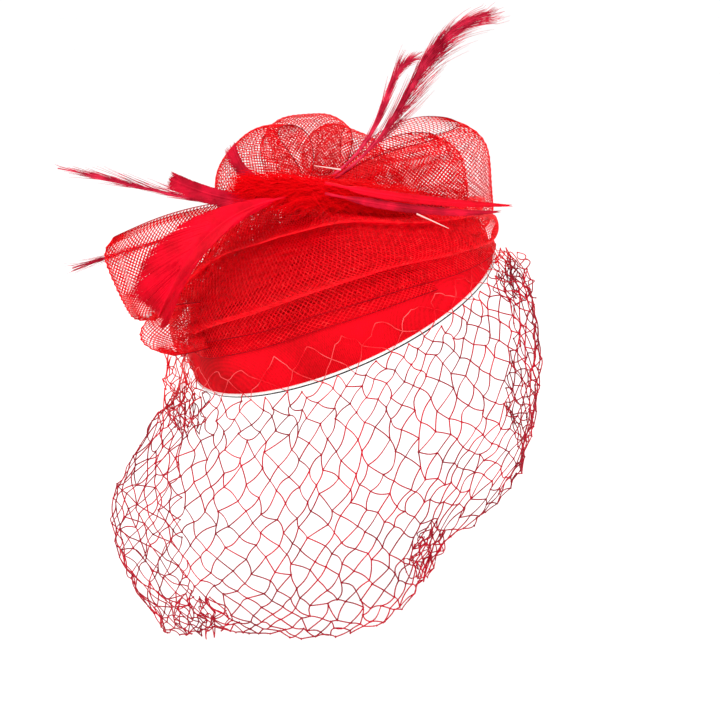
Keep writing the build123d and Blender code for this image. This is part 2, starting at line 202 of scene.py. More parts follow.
# Woven fabric: warp and weft along the seat's two directions, pitch and lift in mm
def woven_material(name, dark, light, pitch, roughness, lift):
    material, nodes, links, shader = new_material(name)
    where = nodes.new("ShaderNodeTexCoord")
    waves = []
    for way in (seat_x, seat_y):
        dot = nodes.new("ShaderNodeVectorMath")
        dot.operation = "DOT_PRODUCT"
        links.new(where.outputs["Object"], dot.inputs[0])
        dot.inputs[1].default_value = [float(v) for v in way]
        turn = add_node(nodes, "ShaderNodeMath", operation="MULTIPLY")
        links.new(dot.outputs["Value"], turn.inputs[0])
        turn.inputs[1].default_value = 2 * math.pi / (pitch * MM)
        wave = add_node(nodes, "ShaderNodeMath", operation="SINE")
        links.new(turn.outputs["Value"], wave.inputs[0])
        waves.append(wave.outputs["Value"])
    cross = add_node(nodes, "ShaderNodeMath", operation="MULTIPLY")
    links.new(waves[0], cross.inputs[0])
    links.new(waves[1], cross.inputs[1])
    slub = add_node(nodes, "ShaderNodeTexNoise", Scale=900.0, Detail=3.0)
    links.new(where.outputs["Object"], slub.inputs["Vector"])
    cloud = add_node(nodes, "ShaderNodeTexNoise", Scale=28.0, Detail=4.0)
    links.new(where.outputs["Object"], cloud.inputs["Vector"])
    height = add_node(nodes, "ShaderNodeMath", operation="MULTIPLY_ADD")
    links.new(cross.outputs["Value"], height.inputs[0])
    height.inputs[1].default_value = 0.28
    links.new(slub.outputs["Fac"], height.inputs[2])
    bump = add_node(nodes, "ShaderNodeBump", Strength=0.55, Distance=lift * MM)
    links.new(height.outputs["Value"], bump.inputs["Height"])
    links.new(bump.outputs["Normal"], shader.inputs["Normal"])
    # the colour follows the weave's height, so the hollows between yarns get painted shade; the cloud and
    # slubs add the cloth's own random tone
    tone = add_node(nodes, "ShaderNodeMath", operation="MULTIPLY_ADD")
    links.new(height.outputs["Value"], tone.inputs[0])
    tone.inputs[1].default_value = 0.45
    links.new(cloud.outputs["Fac"], tone.inputs[2])
    colour = ramp(nodes, links, tone.outputs["Value"], [(0.42, dark), (1.0, light)])
    links.new(colour, shader.inputs["Base Color"])
    rough = add_node(nodes, "ShaderNodeMapRange")
    rough.inputs["To Min"].default_value = roughness - 0.08
    rough.inputs["To Max"].default_value = roughness + 0.08
    links.new(slub.outputs["Fac"], rough.inputs["Value"])
    links.new(rough.outputs["Result"], shader.inputs["Roughness"])
    shader.inputs["Specular IOR Level"].default_value = 0.06
    return material


# Pressed felt: short tangled fibres in two tones
def felt_material(name, dark, light):
    material, nodes, links, shader = new_material(name)
    where = nodes.new("ShaderNodeTexCoord")
    fibre = add_node(nodes, "ShaderNodeTexNoise", Scale=1400.0, Detail=6.0, Distortion=1.5)
    links.new(where.outputs["Object"], fibre.inputs["Vector"])
    colour = ramp(nodes, links, fibre.outputs["Fac"], [(0.3, dark), (0.75, light)])
    links.new(colour, shader.inputs["Base Color"])
    bump = add_node(nodes, "ShaderNodeBump", Strength=0.7, Distance=0.0004)
    links.new(fibre.outputs["Fac"], bump.inputs["Height"])
    links.new(bump.outputs["Normal"], shader.inputs["Normal"])
    shader.inputs["Roughness"].default_value = 0.95
    shader.inputs["Sheen Weight"].default_value = 0.25
    return material


# Moulded board: a fine pebbled grain
def moulded_material(name, dark, light):
    material, nodes, links, shader = new_material(name)
    where = nodes.new("ShaderNodeTexCoord")
    grain = add_node(nodes, "ShaderNodeTexNoise", Scale=700.0, Detail=4.0)
    links.new(where.outputs["Object"], grain.inputs["Vector"])
    colour = ramp(nodes, links, grain.outputs["Fac"], [(0.35, dark), (0.7, light)])
    links.new(colour, shader.inputs["Base Color"])
    bump = add_node(nodes, "ShaderNodeBump", Strength=0.3, Distance=0.0002)
    links.new(grain.outputs["Fac"], bump.inputs["Height"])
    links.new(bump.outputs["Normal"], shader.inputs["Normal"])
    shader.inputs["Roughness"].default_value = 0.6
    return material


# Plated steel with fine scratches along one direction
def steel_material(name, dark, light, roughness):
    material, nodes, links, shader = new_material(name)
    where = nodes.new("ShaderNodeTexCoord")
    stretch = nodes.new("ShaderNodeMapping")
    stretch.inputs["Scale"].default_value = (300, 2500, 2500)
    links.new(where.outputs["Object"], stretch.inputs["Vector"])
    scratch = add_node(nodes, "ShaderNodeTexNoise", Scale=1.0, Detail=5.0)
    links.new(stretch.outputs["Vector"], scratch.inputs["Vector"])
    colour = ramp(nodes, links, scratch.outputs["Fac"], [(0.3, dark), (0.7, light)])
    links.new(colour, shader.inputs["Base Color"])
    rough = add_node(nodes, "ShaderNodeMapRange")
    rough.inputs["To Min"].default_value = roughness - 0.08
    rough.inputs["To Max"].default_value = roughness + 0.12
    links.new(scratch.outputs["Fac"], rough.inputs["Value"])
    links.new(rough.outputs["Result"], shader.inputs["Roughness"])
    shader.inputs["Metallic"].default_value = 1.0
    return material


cover_fabric = woven_material("cover_fabric", (0.42, 0.0, 0.002), (0.90, 0.0, 0.010), 0.9, 0.7, 0.14)
lining_felt = felt_material("lining_felt", (0.006, 0.006, 0.007), (0.035, 0.035, 0.037))
patch_felt = felt_material("patch_felt", (0.010, 0.010, 0.011), (0.05, 0.05, 0.052))
shell_white = moulded_material("shell_moulded", (0.82, 0.82, 0.80), (0.93, 0.93, 0.91))
clip_steel = steel_material("clip_steel", (0.55, 0.55, 0.57), (0.80, 0.80, 0.82), 0.3)
spring_steel = steel_material("spring_steel", (0.38, 0.38, 0.40), (0.62, 0.62, 0.64), 0.35)
binding_fabric = woven_material(
    "binding_fabric", (0.35, 0.0, 0.001), (0.75, 0.0, 0.006), 0.7, 0.7, 0.08
)


def dress(node, material):
    obj = bpy.data.objects[node]
    obj.data.materials.clear()
    obj.data.materials.append(material)


for node, material in (
    ("base_cover", cover_fabric),
    ("base_shell", shell_white),
    ("felt_lining", lining_felt),
    ("centre_stitches", thread_red),
):
    dress(node, material)
for side in ("left", "right"):
    dress(side + "_clip_leaf", clip_steel)
    dress(side + "_clip_lever", clip_steel)
    dress(side + "_clip_pin", clip_steel)
    dress(side + "_clip_spring", spring_steel)
    dress(side + "_clip_patch", patch_felt)


# ---------------------------------------------------------------- strands
class Strands:
    """Collects many thin tubes into one mesh. Points are in millimetres."""

    def __init__(self):
        self.verts = []
        self.faces = []
        self.marks = []
        self.count = 0

    def tubes(self, lines, radius, sides=3, taper=None, mark=0):
        # lines: (number of lines, points each, 3); taper multiplies the radius along each line
        lines = np.asarray(lines, float)
        n, m, _ = lines.shape
        ways = np.gradient(lines, axis=1)
        ways /= np.linalg.norm(ways, axis=2, keepdims=True) + 1e-12
        guide = np.where(np.abs(ways[..., 2:3]) < 0.8, [[[0.0, 0.0, 1.0]]], [[[1.0, 0.0, 0.0]]])
        # one guide per line, so that the rings don't turn between points
        guide = np.broadcast_to(guide[:, m // 2 : m // 2 + 1], lines.shape)
        over = np.cross(ways, guide)
        over /= np.linalg.norm(over, axis=2, keepdims=True) + 1e-9
        lift = np.cross(over, ways)
        # radius is one number, or one for each line
        size = np.broadcast_to(np.asarray(radius, float).reshape(-1, 1), (n, m))
        if taper is not None:
            size = size * np.asarray(taper)[None, :]
        rings = []
        for k in range(sides):
            turn = 2 * math.pi * k / sides
            rings.append(lines + (over * math.cos(turn) + lift * math.sin(turn)) * size[..., None])
        verts = np.stack(rings, axis=2).reshape(-1, 3)
        base = self.count
        index = np.arange(n * m * sides).reshape(n, m, sides) + base
        a = index[:, :-1, :]
        b = index[:, 1:, :]
        corners = [a, np.roll(a, -1, axis=2), np.roll(b, -1, axis=2), b]
        quads = np.stack(corners, axis=-1).reshape(-1, 4)
        for batch in (quads, index[:, 0, ::-1], index[:, -1, :]):
            self.faces.append(batch)
            self.marks.append(np.full(len(batch), mark))
        self.verts.append(verts)
        self.count += len(verts)

    def lumps(self, centres, radius, seed=1):
        # small eight-sided knots, each turned at random
        turn_rng = np.random.default_rng(seed)
        centres = np.asarray(centres, float)
        shape = np.concatenate([[way, [-c for c in way]] for way in np.eye(3)])
        tri = np.array(
            [(0, 2, 4), (2, 1, 4), (1, 3, 4), (3, 0, 4), (2, 0, 5), (1, 2, 5), (3, 1, 5), (0, 3, 5)]
        )
        n = len(centres)
        frames, _ = np.linalg.qr(turn_rng.normal(size=(n, 3, 3)))
        flip = np.linalg.det(frames) < 0
        frames[flip, :, 0] *= -1
        sizes = radius * turn_rng.uniform(0.8, 1.25, (n, 1, 3))
        verts = np.einsum("nij,nkj->nki", frames, shape[None] * sizes) + centres[:, None, :]
        self.faces.append((tri[None] + self.count + 6 * np.arange(n)[:, None, None]).reshape(-1, 3))
        self.marks.append(np.zeros(8 * n, int))
        self.verts.append(verts.reshape(-1, 3))
        self.count += 6 * n

    def build(self, name, *materials):
        verts = np.concatenate(self.verts) * MM
        mesh = bpy.data.meshes.new(name)
        totals = np.concatenate([np.full(len(f), f.shape[1]) for f in self.faces])
        loops = np.concatenate([f.reshape(-1) for f in self.faces])
        starts = np.concatenate([[0], np.cumsum(totals)[:-1]])
        mesh.vertices.add(len(verts))
        mesh.vertices.foreach_set("co", verts.reshape(-1).astype(np.float32))
        mesh.loops.add(len(loops))
        mesh.loops.foreach_set("vertex_index", loops.astype(np.int32))
        mesh.polygons.add(len(totals))
        mesh.polygons.foreach_set("loop_start", starts.astype(np.int32))
        mesh.polygons.foreach_set("loop_total", totals.astype(np.int32))
        mesh.update(calc_edges=True)
        mesh.polygons.foreach_set("use_smooth", np.ones(len(totals), bool))
        for material in materials:
            mesh.materials.append(material)
        mesh.polygons.foreach_set("material_index", np.concatenate(self.marks).astype(np.int32))
        obj = bpy.data.objects.new(name, mesh)
        bpy.context.scene.collection.objects.link(obj)
        return obj


# Every piece of the looks rides a body and hides the CAD nodes it stands for
def finish_piece(obj, nodes):
    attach(obj, "headpiece")
    if nodes:
        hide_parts(*nodes)


# Smooth curve between a and b, at share t of the way, given their neighbours
def between(before, a, b, after, t):
    return 0.5 * (
        2 * a
        + (b - before) * t
        + (2 * before - 5 * a + 4 * b - after) * t * t
        + (3 * a - before - 3 * b + after) * t * t * t
    )


# Place along a row of stations: the one before, and the share of the way to the next
def station_at(share, last):
    place = np.clip(share, 0, 1) * last
    i = np.minimum(place.astype(int), last - 1)
    return i, place - i


# Smooth values through a list of stations, for an array of shares 0..1
def catmull(values, share):
    values = np.asarray(values, float)
    last = len(values) - 1
    i, t = station_at(share, last)
    t = t.reshape(-1, *([1] * (values.ndim - 1)))
    before = values[np.maximum(i - 1, 0)]
    after = values[np.minimum(i + 2, last)]
    return between(before, values[i], values[i + 1], after, t)


# ---------------------------------------------------------------- crin ribbons
CRIN_PITCH = 1.25
CRIN_RADIUS = 0.2
SELVEDGE_RADIUS = 0.19
# Distance across the ribbon between a filament's points, and along it between a selvedge's
FILAMENT_STEP = 2.4
SELVEDGE_STEP = 2.0
# Filaments that cross less than this share of the width, at the ribbon's ends, are left out
SHORTEST_CROSSING = 0.04


# The same surface with its first share running evenly along the ribbon; also its length in mm
def evened(surface):
    u = np.linspace(0, 1, 300)
    run = np.zeros(300)
    for place in (0.2, 0.5, 0.8):
        line = surface(u, np.full_like(u, place))
        steps = np.linalg.norm(np.diff(line, axis=0), axis=1)
        run[1:] += np.cumsum(steps) / 3
    return lambda share, v: surface(np.interp(share, run / run[-1], u), v), float(run[-1])


# Lay two diagonal sets of filaments and the selvedges on a ribbon.
# surface(u, v) gives points for arrays u along 0..1 and v across 0..1.
def crin_mesh(name, surface, length, width, nodes, slant=42.0, radius=CRIN_RADIUS):
    strands = Strands()
    steps = max(int(width / FILAMENT_STEP), 8)
    across = np.linspace(0, 1, steps + 1)
    run = width / math.tan(math.radians(slant))
    gap = CRIN_PITCH / math.sin(math.radians(slant))
    starts = np.arange(-run, length, gap)
    # a filament that would run off an end of the ribbon stops there
    low = np.clip(-starts / run, 0, 1)
    high = np.clip((length - starts) / run, 0, 1)
    kept = high - low > SHORTEST_CROSSING
    for sign in (1, -1):
        t = low[kept, None] + (high - low)[kept, None] * across[None, :]
        u = np.clip((starts[kept, None] + run * t) / length, 0, 1)
        v = t if sign > 0 else 1 - t
        points = surface(u.reshape(-1), v.reshape(-1)).reshape(*u.shape, 3)
        strands.tubes(points, radius, 3)
    edge_steps = max(int(length / SELVEDGE_STEP), 20)
    u = np.linspace(0, 1, edge_steps)
    for place in (0.0, 1.0):
        points = surface(u, np.full_like(u, place))
        strands.tubes(points[None], SELVEDGE_RADIUS, 4, mark=1)
    obj = strands.build(name, crin_red, edge_red)
    finish_piece(obj, nodes)
    return obj


# The root's two ends are hidden in the gathers, so a loop starts and stops just short of them
LOOP_START = 0.035
LOOP_RUN = 0.93
# Small pleats near the root, and one long wave towards the fold
PLEAT_DEPTH = 2.4
PLEAT_COUNT = 3.5
WAVE_DEPTH = 1.6


# One bow loop: out from the gathered root, round the fold and back.
# gape opens the two plies; rounding and power shape the fold's corners;
# skew lowers the ply that turns towards the side direction and lifts the other.
def loop_surface(
    root, far, up, root_width, end_width, gape, rounding, power, low_share, skew, phase
):
    root = np.array(root, float)
    far = np.array(far, float)
    reach_length = np.linalg.norm(far - root)
    along = (far - root) / reach_length
    width_way = np.array(up, float)
    width_way -= along * (along @ width_way)
    width_way /= np.linalg.norm(width_way)
    side = np.cross(along, width_way)

    def surface(u, v):
        turn = LOOP_START + LOOP_RUN * u
        reach = np.sin(np.pi * turn)
        t = 2 * v - 1
        spread = np.sin(0.5 * np.pi * np.minimum(1, 1.15 * reach**0.85))
        half = 0.5 * (root_width + (end_width - root_width) * spread)
        lower = np.where(t < 0, low_share, 1.0)
        out = reach_length * reach * (1 - rounding * np.abs(t) ** power)
        pleat = (1 - reach) ** 0.8 * PLEAT_DEPTH * np.sin(2 * np.pi * PLEAT_COUNT * v + phase)
        wave = WAVE_DEPTH * reach * np.sin(2 * np.pi * (0.8 * v + 0.5 * u) + phase)
        across = 0.5 * gape * np.sin(2 * np.pi * turn) * (1 + 0.25 * t) + pleat + wave
        ply = np.cos(np.pi * turn) * reach * 2
        height = half * t * lower - skew * ply
        points = root + out[:, None] * along + across[:, None] * side + height[:, None] * width_way
        return rest_on_cover(points)

    return evened(surface)


# name, root, far end, width direction,
# root width, end width, gape, rounding, its power, lower share, skew of the plies, wave phase
LOOPS = (
    (
        "left_loop", (-20, -20, 47), (-106.5, -6, 9), (-0.42, 0, 0.9),
        18, 53, 11, 0.09, 8, 0.64, 0.0, 0.4,
    ),
    (
        "right_outer_loop", (-8, -12, 51), (71.5, 12, 59), (-0.06, 0, 1),
        16, 66, 15, 0.19, 5, 0.65, 4.0, 1.0,
    ),
    (
        "right_inner_loop", (-8, -22, 53), (58.5, -12, 61), (-0.06, 0, 1),
        14, 52, 9, 0.19, 4, 0.65, 2.5, 2.0,
    ),
    (
        "rosette_left_loop", (-22, -12, 53), (-51, 0, 80), (0.69, 0, 0.72),
        16, 44, 16, 0.25, 3, 1.0, -5.0, 0.5,
    ),
    (
        "rosette_centre_loop", (-15, 2, 55), (-20, 16, 93), (1, 0, 0.05),
        16, 39, 15, 0.2, 4, 1.0, 3.0, 1.5,
    ),
    (
        "rosette_right_loop", (-7, 15, 53), (4, 31, 85.5), (0.93, 0, -0.3),
        14, 34, 12, 0.2, 4, 1.0, 3.0, 2.5,
    ),
    (
        "back_loop", (-6, 24, 49), (2, 69, 56), (1, -0.1, 0.4),
        16, 58, 14, 0.2, 4, 0.6, 0.0, 0.0,
    ),
)
for name, root, far, up, root_width, end_width, gape, rounding, power, low_share, skew, phase in LOOPS:
    surface, length = loop_surface(
        root, far, up, root_width, end_width, gape, rounding, power, low_share, skew, phase
    )
    ribbon_width = 0.5 * end_width * (1 + low_share)
    # the left loop's filaments are the thickest
    dense = name == "left_loop"
    crin_mesh(
        name + "_crin",
        surface,
        length,
        ribbon_width,
        [name],
        radius=0.24 if dense else CRIN_RADIUS,
    )

# Front drape: stations from the right end round the front to the left lobe
# angle, bottom radius, bottom height, top radius, top height, bulge
DRAPE = np.array(
    [
        (364, 81.0, 5.5, 80.0, 31.0, 2.0),
        (345, 81.0, 6.5, 75.0, 35.0, 4.0),
        (325, 79.5, 12.0, 57.0, 45.0, 7.0),
        (300, 75.5, 20.0, 30.0, 60.0, 8.0),
        (270, 73.5, 25.0, 19.0, 63.0, 8.0),
        (245, 75.5, 25.0, 22.0, 66.0, 8.0),
        (228, 77.5, 24.0, 28.0, 68.0, 8.0),
        (217, 80.0, 22.5, 40.0, 65.0, 8.0),
        (209, 82.0, 21.5, 57.0, 56.0, 7.0),
        (203, 82.0, 22.0, 68.0, 48.0, 4.0),
    ]
)
LOBE_RADIUS = 3.0
# The front layer ends at the first share of the ribbon, the roll at the second,
# and the layer behind comes back over part of the front one's run
FRONT_END = 0.6
ROLL_END = 0.65
BACK_RUN = 0.72
PLEAT_SHARE = 0.125
PLEAT_LIFT = 2.2
BACK_DROP = 5.0
DRAPE_WIDTH = 62.0


def drape_surface(u, v):
    front = np.clip(u / FRONT_END, 0, 1)
    roll = np.clip((u - FRONT_END) / (ROLL_END - FRONT_END), 0, 1)
    back = np.clip((u - ROLL_END) / (1 - ROLL_END), 0, 1)
    behind = u > ROLL_END
    station = np.where(behind, 1 - BACK_RUN * back, front)
    # the lobe at the left end is round: its edges stop short of the fold
    station = station - 0.08 * (2 * v - 1) ** 2 * np.clip(6 * station - 5, 0, 1)
    station = station + 0.05 * (2 * v - 1) ** 2 * np.clip(1 - 8 * station, 0, 1)
    angle, low_r, low_h, top_r, top_h, bulge = catmull(DRAPE, station).T
    # the ribbon doubles over itself in two soft pleats across its width, which fade at its ends
    beat = 4 * np.pi * v + 1.2 * station
    pleat = PLEAT_SHARE * np.sin(beat) * np.clip(7 * (0.93 - station), 0, 1)
    pleat = np.where(behind, 0.0, pleat * np.clip(8 * station, 0, 1))
    w = v + pleat
    slope = np.arctan2(top_h - low_h, low_r - top_r)
    lift = PLEAT_LIFT * np.cos(beat + 1.9) * np.clip(7 * (0.97 - station), 0, 1)
    swell = bulge * np.sin(np.pi * np.clip(w, 0, 1)) + np.where(behind, -BACK_DROP, lift)
    radius = low_r + (top_r - low_r) * w + swell * np.sin(slope)
    height = low_h + (top_h - low_h) * w + swell * np.cos(slope)
    turn = np.where(behind, math.pi, math.pi * roll)
    fade = np.where(behind, np.clip(1 - 2.5 * back, 0, 1), 1.0)
    radius = radius - LOBE_RADIUS * (1 - np.cos(turn)) * fade
    a = np.radians(angle)
    out = np.outer(np.cos(a), seat_x) + np.outer(np.sin(a), seat_y)
    round_way = np.outer(np.sin(a), seat_x) - np.outer(np.cos(a), seat_y)
    points = radius[:, None] * out + height[:, None] * seat_n
    points = points + (LOBE_RADIUS * np.sin(turn))[:, None] * round_way
    return rest_on_cover(points)


even_drape, drape_length = evened(drape_surface)
crin_mesh("front_drape_crin", even_drape, drape_length, DRAPE_WIDTH, ["front_drape"])
# The layer that fans from the centre down behind the broad feather, then the rounded folds
# at the drape's left and right ends: name, width, and the values loop_surface takes
DRAPE_FOLDS = (
    (
        "fan", 42.0,
        ((-10, -40, 61), (-75, -38, 13), (0.6, 0, 0.8), 20, 42, 6, 0.35, 2.5, 1.0, 0.4, 1.2),
    ),
    (
        "lobe", 23.0,
        ((-61, -50, 2), (-93, -42, -5), (0.05, 0, 1), 21, 23, 9, 0.40, 2.2, 1.0, 0.4, 0.8),
    ),
    (
        "end", 17.0,
        ((49, -30, 42), (68.0, -20, 36), (-0.15, 0, 1), 13, 17, 6, 0.38, 2.2, 1.0, 0.3, 0.3),
    ),
)
for name, fold_width, values in DRAPE_FOLDS:
    fold_surface, fold_length = loop_surface(*values)
    crin_mesh("front_drape_" + name + "_crin", fold_surface, fold_length, fold_width, [])


# ---------------------------------------------------------------- centre binding
CUSHION_CENTRE = seat_x * 5.9 + seat_y * -11.0 + seat_n * 54.3
CUSHION_RADIUS = 13.0
CUSHION_HALF_HEIGHT = 8.4


# The gathered middle of the bow: a pleated cushion drawn in at its waist
def gathered_cushion():
    mesh = bmesh.new()
    rows, cols = 36, 120
    grid = []
    for i in range(rows + 1):
        lat = -math.pi / 2 + math.pi * i / rows
        waist = 1 - 0.12 * math.exp(-((lat / 0.35) ** 2))
        ring = []
        for j in range(cols):
            lon = 2 * math.pi * j / cols
            pleat = 1 + 0.07 * math.sin(17 * lon) * math.cos(lat) ** 0.5
            pleat = pleat + 0.03 * math.sin(41 * lon + 3 * lat)
            out = CUSHION_RADIUS * math.cos(lat) ** 0.75 * pleat * waist
            point = CUSHION_CENTRE + seat_x * (out * math.cos(lon)) + seat_y * (out * math.sin(lon))
            point = point + seat_n * (CUSHION_HALF_HEIGHT * math.sin(lat))
            ring.append(mesh.verts.new(point * MM))
        grid.append(ring)
    for i in range(rows):
        for j in range(cols):
            k = (j + 1) % cols
            mesh.faces.new((grid[i][j], grid[i][k], grid[i + 1][k], grid[i + 1][j]))
    bmesh.ops.remove_doubles(mesh, verts=mesh.verts, dist=1e-6)
    data = bpy.data.meshes.new("centre_gathers")
    mesh.to_mesh(data)
    mesh.free()
    for face in data.polygons:
        face.use_smooth = True
    obj = bpy.data.objects.new("centre_gathers", data)
    bpy.context.scene.collection.objects.link(obj)
    data.materials.append(binding_fabric)
    finish_piece(obj, ["centre_binding"])


# Thread wound round the cushion's waist
def binding_thread():
    turns = 9
    t = np.linspace(0, 1, turns * 28)
    lon = 2 * np.pi * turns * t
    out = 11.9 + 0.25 * np.sin(5 * lon * 0.37)
    up = -2.2 + 4.4 * t + 0.3 * np.sin(lon * 0.5)
    points = CUSHION_CENTRE + np.outer(out * np.cos(lon), seat_x)
    points = points + np.outer(out * np.sin(lon), seat_y) + np.outer(up, seat_n)
    strands = Strands()
    strands.tubes(points[None], 0.28, 5)
    finish_piece(strands.build("binding_thread", thread_red), [])


gathered_cushion()
binding_thread()


# ---------------------------------------------------------------- feathers
# The quills' faces are turned to the front, a little upward
FACING = np.array([0.0, -1.0, 0.15])


def bezier(points, u):
    a, b, c, d = [np.array(p, float) for p in points]
    u = np.asarray(u)[..., None]
    return a * (1 - u) ** 3 + b * (3 * u * (1 - u) ** 2) + c * (3 * u * u * (1 - u)) + d * u**3


# Directions at places along a quill: ahead along it, over across its face, and lift out of it
def quill_frame(curve, place, reach):
    ahead = bezier(curve, np.clip(place + reach, 0, 1)) - bezier(curve, np.clip(place - reach, 0, 1))
    ahead /= np.linalg.norm(ahead, axis=1, keepdims=True)
    over = np.cross(ahead, FACING)
    over /= np.linalg.norm(over, axis=1, keepdims=True)
    return ahead, over, np.cross(over, ahead)


# Running distance along and across the quill for barbs with the given angles, step by step
def barb_run(bend, step):
    start = np.zeros((len(bend), 1))
    along = np.cumsum(np.cos(bend[:, 1:]) * step, axis=1)
    across = np.cumsum(np.sin(bend[:, 1:]) * step, axis=1)
    return np.concatenate([start, along], axis=1), np.concatenate([start, across], axis=1)


def feather(
    name,
    curve,
    half_width,
    material,
    profile,
    seed,
    shaft=(0.55, 0.18),
    gap=0.2,
    angle=26.0,
    start=0.1,
    wild=0.05,
    barb_radius=0.2,
    curl=0.1,
    cut=None,
):
    """A quill with separate barbs; lengths in millimetres, angle in degrees from the quill."""
    local = np.random.default_rng(seed)
    strands = Strands()
    u = np.linspace(0, 1, 60)
    line = bezier(curve, u)
    length = float(np.linalg.norm(np.diff(line, axis=0), axis=1).sum())
    quill = Strands()
    quill.tubes(line[None], shaft[0], 6, np.linspace(1, shaft[1] / shaft[0], 60))
    count = int(length * (1 - start) / gap)
    for sign in (-1, 1):
        root_u = start + (1 - start) * (np.arange(count) + local.uniform(0, 0.6, count)) / count
        root_u = np.clip(root_u, 0, 0.999)
        base = bezier(curve, root_u)
        ahead, over, lift = quill_frame(curve, root_u, 0.01)
        reach = half_width * profile(root_u, sign)
        # barbs cling together in locks, with splits between
        lock = np.cumsum(local.random(count) < 0.09)
        lock_turn = local.normal(0, wild, lock.max() + 1)[lock]
        lock_lift = local.normal(0, wild, lock.max() + 1)[lock]
        turn = np.radians(angle) * (1 + 0.35 * lock_turn) + local.normal(0, wild * 0.12, count)
        turn = turn * np.clip(1.25 - 0.75 * root_u**2, 0.35, 2)
        size = reach / np.maximum(np.sin(turn), 0.25)
        size = size * local.uniform(1 - wild, 1 + 0.3 * wild, count)
        if cut is not None:
            # the tip is cut across with a notch at the quill
            room = length * (1 - root_u) + cut * (np.clip(reach / half_width, 0, 1) - 1)
            room = np.maximum(room + local.normal(0, 0.6, count), 1.0)
            size = np.minimum(size, room / np.cos(turn))
        steps = 7
        t = np.linspace(0, 1, steps)
        bend = turn[:, None] * (1 - 0.35 * t[None, :])
        x, y = barb_run(bend, size[:, None] / (steps - 1))
        z = curl * half_width * (t[None, :] ** 1.5) * (1 + lock_lift[:, None] * 2)
        z = z + wild * local.normal(0, 0.35, (count, 1)) * t[None, :]
        points = (
            base[:, None, :]
            + x[..., None] * ahead[:, None, :]
            + sign * y[..., None] * over[:, None, :]
            - z[..., None] * lift[:, None, :]
        )
        strands.tubes(points, barb_radius, 3, np.array([1.0, 1.0, 0.95, 0.85, 0.7, 0.5, 0.2]))
    finish_piece(strands.build(name + "_barbs", material), [name])
    finish_piece(quill.build(name + "_quill", material), [])


# Width of a vane along its quill, as a share of the widest
def vane_profile(rise, tip, fall):
    def profile(u, sign):
        grow = np.sin(0.5 * np.pi * np.clip(u / rise, 0, 1)) ** 0.8
        shrink = 1 - (1 - tip) * np.clip((u - fall) / (1 - fall), 0, 1) ** 1.6
        return grow * shrink

    return profile


# The broad feather's outline is drawn by the barbs' tips, which lie further out along
# the quill than their roots; the vane on the drape's side is the wider one
def broad_profile(u, sign):
    tip = u + 0.28
    wider = 1.0 if sign > 0 else 1.32
    return wider * np.interp(tip, (0.28, 0.42, 0.56, 0.72, 1.3), (0.12, 0.4, 0.78, 1.0, 0.92))


def plume(name, curve, shaft, groups, seed):
    """A stripped quill with long hair-like barbs that run nearly along it.

    groups: (low u, high u, side, count, mean angle, spread of angle, mean length, radius)
    """
    local = np.random.default_rng(seed)
    strands = Strands()
    u = np.linspace(0, 1, 60)
    strands.tubes(bezier(curve, u)[None], shaft[0], 5, np.linspace(1, shaft[1] / shaft[0], 60))
    for low, high, side, count, mean, spread, size, radius in groups:
        place = local.uniform(low, high, count)
        base = bezier(curve, place)
        ahead, over, lift = quill_frame(curve, place, 0.02)
        way = np.full(count, float(side)) if side else np.sign(local.normal(size=count))
        turn = way * np.radians(np.abs(local.normal(mean, spread, count)))
        long = size * local.uniform(0.7, 1.2, count)
        steps = 8
        t = np.linspace(0, 1, steps)
        # each barb leaves at its angle and bends back towards the quill's own line
        bend = turn[:, None] * (1.25 - 0.5 * t[None, :])
        bend = bend + np.radians(local.normal(0, 2.5, (count, 1))) * t
        x, y = barb_run(bend, long[:, None] / (steps - 1))
        z = local.normal(0, 0.06, (count, 1)) * long[:, None] * t[None, :]
        # barbs follow the quill's own curve as far as it goes
        further = np.clip(place[:, None] + x / 90.0, 0, 1)
        spine = bezier(curve, further) - base[:, None, :]
        run = np.linalg.norm(spine, axis=2)
        left = np.maximum(x - run, 0)
        points = base[:, None, :] + spine + left[..., None] * ahead[:, None, :]
        points = points + y[..., None] * over[:, None, :] + z[..., None] * lift[:, None, :]
        strands.tubes(points, radius, 3, np.array([1.0, 1.0, 1.0, 0.9, 0.8, 0.65, 0.5, 0.25]))
    finish_piece(strands.build(name + "_hairs", plume_crimson), [name])


plume(
    "left_hackle", [(-22, -37, 59), (-55, -40, 49), (-95, -32, 65), (-132, -25, 71)], (0.8, 0.3),
    (
        (0.2, 0.78, 0, 90, 2.5, 1.2, 18, 0.15),
        (0.2, 0.66, 1, 44, 9.0, 2.5, 22, 0.13),
        (0.55, 0.9, 0, 46, 6.0, 2.5, 16, 0.13),
    ),
    11,
)
feather(
    "cut_feather", [(-24, -44, 61), (-44, -47, 55), (-60, -48, 60), (-78, -47, 68)],
    5.0, feather_crimson, vane_profile(0.3, 0.95, 0.8), 12,
    shaft=(0.7, 0.4), cut=4.0,
)
feather(
    "broad_feather", [(-26, -50, 60), (-56, -68, 56), (-70, -66, 38), (-83, -62, 7)],
    13.5, feather_red, broad_profile, 13,
    shaft=(0.5, 0.2), gap=0.11, angle=21, start=0.05, wild=0.045, barb_radius=0.26, curl=0.22, cut=-1.5,
)
plume(
    "low_hackle", [(-22, 2, 52), (-60, 14, 43), (-95, 14, 31), (-131, 8, 20)], (0.7, 0.25),
    ((0.4, 0.9, 0, 70, 4.0, 2.0, 16, 0.13), (0.6, 0.92, 0, 26, 11.0, 3.0, 15, 0.1)),
    14,
)
feather(
    "notched_feather", [(-24, -36, 63), (-38, -37, 63), (-48, -36, 70), (-50, -33, 82)],
    3.6, feather_crimson, vane_profile(0.3, 1.0, 0.8), 15,
    shaft=(0.6, 0.3), angle=24, wild=0.06, cut=4.0,
)
